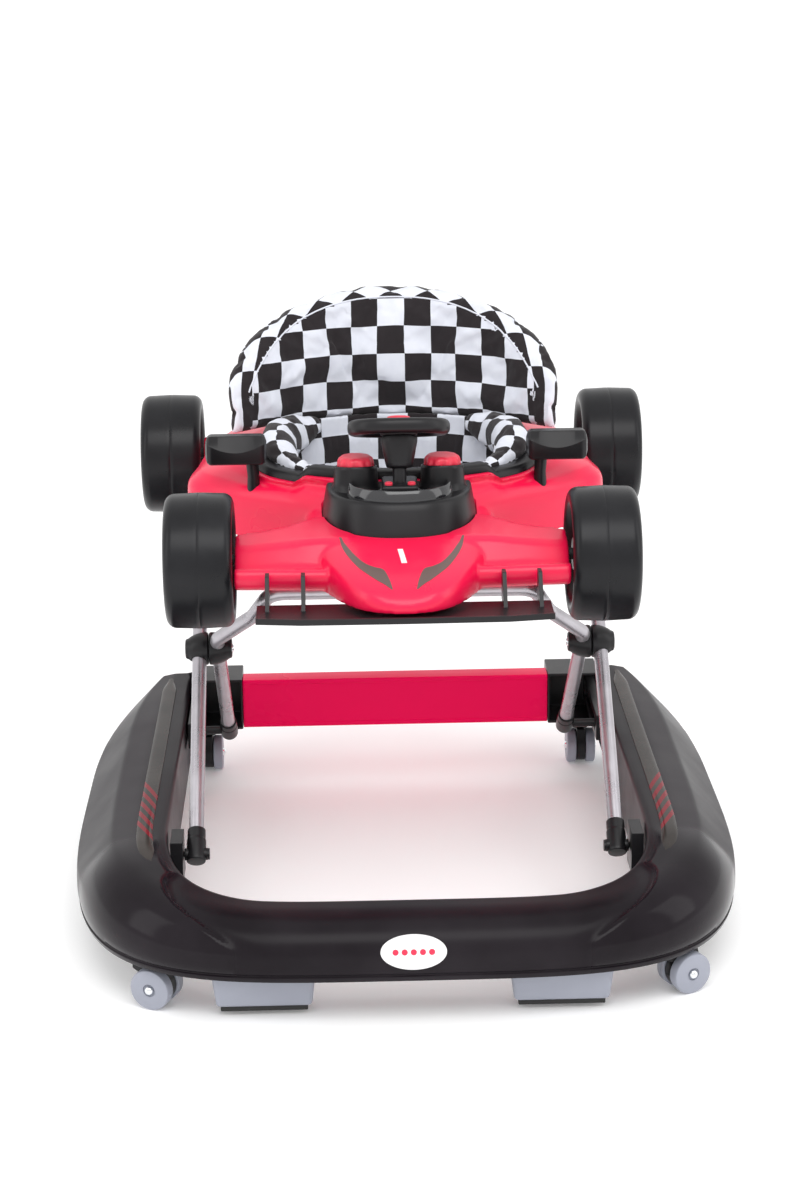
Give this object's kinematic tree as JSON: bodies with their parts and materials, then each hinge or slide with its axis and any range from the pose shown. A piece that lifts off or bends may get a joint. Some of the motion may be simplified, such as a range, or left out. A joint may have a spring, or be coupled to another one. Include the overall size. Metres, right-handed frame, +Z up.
{
  "type": "baby walker",
  "caption": "Baby walker with a U-shaped base on swivel casters, folding scissor legs and a racing-car tray with steering wheel, knobs and a padded checked seat.",
  "frame": {"origin": "on the floor under the middle of the walker's bounding box", "axes": "+Z up, +X to the right seen from the front, -Y towards the car's nose"},
  "size_m": [0.682, 0.7746, 0.5955],
  "materials": {
    "black_plastic": "satin",
    "dark_plastic": "matt",
    "trim_gloss": "gloss, red and black stripes",
    "car_red": "satin, semi-gloss",
    "bar_red": "semi-gloss",
    "light_grey": "satin",
    "rubber": "matt",
    "silver_paint": "metallic silver",
    "badge_white": "gloss",
    "visor_gloss": "high gloss",
    "knob_red": "gloss",
    "wheel_black": "satin",
    "check_fabric": "black and white checked cotton"
  },
  "bodies": {
    "base": {"base_upper_shell": "black_plastic", "base_lower_pan": "dark_plastic", "front_badge": "badge_white", "rear_crossbar": "bar_red", "side_trim_left": "trim_gloss", "side_trim_right": "trim_gloss", "slide_track_left": "black_plastic", "slide_track_right": "black_plastic", "leg_bracket_left": "black_plastic", "leg_bracket_right": "black_plastic", "brake_block_left": "light_grey", "brake_block_right": "light_grey", "brake_pad_left": "rubber", "brake_pad_right": "rubber"},
    "outer_legs": {"outer_leg_tube_left": "silver_paint", "outer_leg_tube_right": "silver_paint", "outer_leg_foot_left": "black_plastic", "outer_leg_foot_right": "black_plastic", "outer_leg_top_left": "black_plastic", "outer_leg_top_right": "black_plastic", "hinge_ball_outer_left": "black_plastic", "hinge_ball_outer_right": "black_plastic"},
    "inner_legs": {"inner_leg_tube": "silver_paint", "inner_leg_foot_left": "black_plastic", "inner_leg_foot_right": "black_plastic", "hinge_ball_inner_left": "black_plastic", "hinge_ball_inner_right": "black_plastic"},
    "tray": {"body_shell": "car_red", "seat_ring": "black_plastic", "dash_console": "black_plastic", "visor": "visor_gloss", "steering_column": "black_plastic", "front_wing": "black_plastic", "seat_back": "check_fabric", "seat_pad": "check_fabric", "tray_pivot_clip_left": "black_plastic", "tray_pivot_clip_right": "black_plastic", "tray_slide_rail_left": "black_plastic", "tray_slide_rail_right": "black_plastic", "mirror_left": "black_plastic", "mirror_right": "black_plastic"},
    "caster_front_left": {"caster_fork_front_left": "black_plastic"},
    "caster_axle_front_left": {"caster_wheels_front_left": "light_grey"},
    "caster_front_right": {"caster_fork_front_right": "black_plastic"},
    "caster_axle_front_right": {"caster_wheels_front_right": "light_grey"},
    "caster_rear_left": {"caster_fork_rear_left": "black_plastic"},
    "caster_axle_rear_left": {"caster_wheels_rear_left": "light_grey"},
    "caster_rear_right": {"caster_fork_rear_right": "black_plastic"},
    "caster_axle_rear_right": {"caster_wheels_rear_right": "light_grey"},
    "wheel_front_left": {"car_wheel_front_left": "wheel_black"},
    "wheel_front_right": {"car_wheel_front_right": "wheel_black"},
    "wheel_rear_left": {"car_wheel_rear_left": "wheel_black"},
    "wheel_rear_right": {"car_wheel_rear_right": "wheel_black"},
    "steering": {"steering_wheel": "black_plastic"},
    "horn": {"horn_button": "knob_red"},
    "knob_left": {"knob_left": "knob_red"},
    "button_left": {"small_button_left": "knob_red"},
    "knob_right": {"knob_right": "knob_red"},
    "button_right": {"small_button_right": "knob_red"}
  },
  "joints": [
    {"name": "fold", "type": "hinge", "parent": "base", "child": "outer_legs", "pos_m": [0, -0.1865, 0.098], "axis": [-1, 0, 0], "range_deg": [0, 28]},
    {"name": "leg_crossing", "type": "hinge", "parent": "outer_legs", "child": "inner_legs", "pos_m": [0, -0.00499, 0.25501], "axis": [-1, 0, 0], "range_deg": [-56.5, 0.5]},
    {"name": "tray_level", "type": "hinge", "parent": "inner_legs", "child": "tray", "pos_m": [0, -0.11087, 0.3466], "axis": [-1, 0, 0], "range_deg": [-0.5, 28.5]},
    {"name": "caster_swivel_front_left", "type": "hinge", "parent": "base", "child": "caster_front_left", "pos_m": [-0.254, -0.315, 0.047], "axis": [0, 0, 1], "continuous": true},
    {"name": "caster_roll_front_left", "type": "hinge", "parent": "caster_front_left", "child": "caster_axle_front_left", "pos_m": [-0.24485, -0.31902, 0.0205], "axis": [0.4024, 0.9155, 0], "continuous": true},
    {"name": "caster_swivel_front_right", "type": "hinge", "parent": "base", "child": "caster_front_right", "pos_m": [0.254, -0.315, 0.047], "axis": [0, 0, 1], "continuous": true},
    {"name": "caster_roll_front_right", "type": "hinge", "parent": "caster_front_right", "child": "caster_axle_front_right", "pos_m": [0.26292, -0.31049, 0.0205], "axis": [-0.4512, 0.8924, 0], "continuous": true},
    {"name": "caster_swivel_rear_left", "type": "hinge", "parent": "base", "child": "caster_rear_left", "pos_m": [-0.223, 0.324, 0.047], "axis": [0, 0, 1], "continuous": true},
    {"name": "caster_roll_rear_left", "type": "hinge", "parent": "caster_rear_left", "child": "caster_axle_rear_left", "pos_m": [-0.223, 0.314, 0.0205], "axis": [1, 0, 0], "continuous": true},
    {"name": "caster_swivel_rear_right", "type": "hinge", "parent": "base", "child": "caster_rear_right", "pos_m": [0.223, 0.324, 0.047], "axis": [0, 0, 1], "continuous": true},
    {"name": "caster_roll_rear_right", "type": "hinge", "parent": "caster_rear_right", "child": "caster_axle_rear_right", "pos_m": [0.223, 0.314, 0.0205], "axis": [1, 0, 0], "continuous": true},
    {"name": "wheel_spin_front_left", "type": "hinge", "parent": "tray", "child": "wheel_front_left", "pos_m": [-0.201, -0.108, 0.381], "axis": [1, 0, 0], "continuous": true},
    {"name": "wheel_spin_front_right", "type": "hinge", "parent": "tray", "child": "wheel_front_right", "pos_m": [0.201, -0.108, 0.381], "axis": [1, 0, 0], "continuous": true},
    {"name": "wheel_spin_rear_left", "type": "hinge", "parent": "tray", "child": "wheel_rear_left", "pos_m": [-0.252, 0.3193, 0.388], "axis": [1, 0, 0], "continuous": true},
    {"name": "wheel_spin_rear_right", "type": "hinge", "parent": "tray", "child": "wheel_rear_right", "pos_m": [0.252, 0.3193, 0.388], "axis": [1, 0, 0], "continuous": true},
    {"name": "steering_turn", "type": "hinge", "parent": "tray", "child": "steering", "pos_m": [0, -0.05103, 0.49994], "axis": [0, 0.2924, 0.9563], "range_deg": [-90, 90]},
    {"name": "horn_press", "type": "slide", "parent": "steering", "child": "horn", "axis": [0, -0.2924, -0.9563], "range_m": [0, 0.003], "stiffness_N_per_m": 300},
    {"name": "knob_turn_left", "type": "hinge", "parent": "tray", "child": "knob_left", "pos_m": [-0.044, -0.0418, 0.455], "axis": [0, 0, 1], "range_deg": [-45, 45]},
    {"name": "button_press_left", "type": "slide", "parent": "tray", "child": "button_left", "axis": [0, 0, -1], "range_m": [0, 0.0012], "stiffness_N_per_m": 300},
    {"name": "knob_turn_right", "type": "hinge", "parent": "tray", "child": "knob_right", "pos_m": [0.044, -0.0418, 0.455], "axis": [0, 0, 1], "range_deg": [-45, 45]},
    {"name": "button_press_right", "type": "slide", "parent": "tray", "child": "button_right", "axis": [0, 0, -1], "range_m": [0, 0.0012], "stiffness_N_per_m": 300}
  ],
  "couplings": [
    {"joint": "leg_crossing", "follows": "fold", "ratio": -2},
    {"joint": "tray_level", "follows": "fold", "ratio": 1}
  ]
}
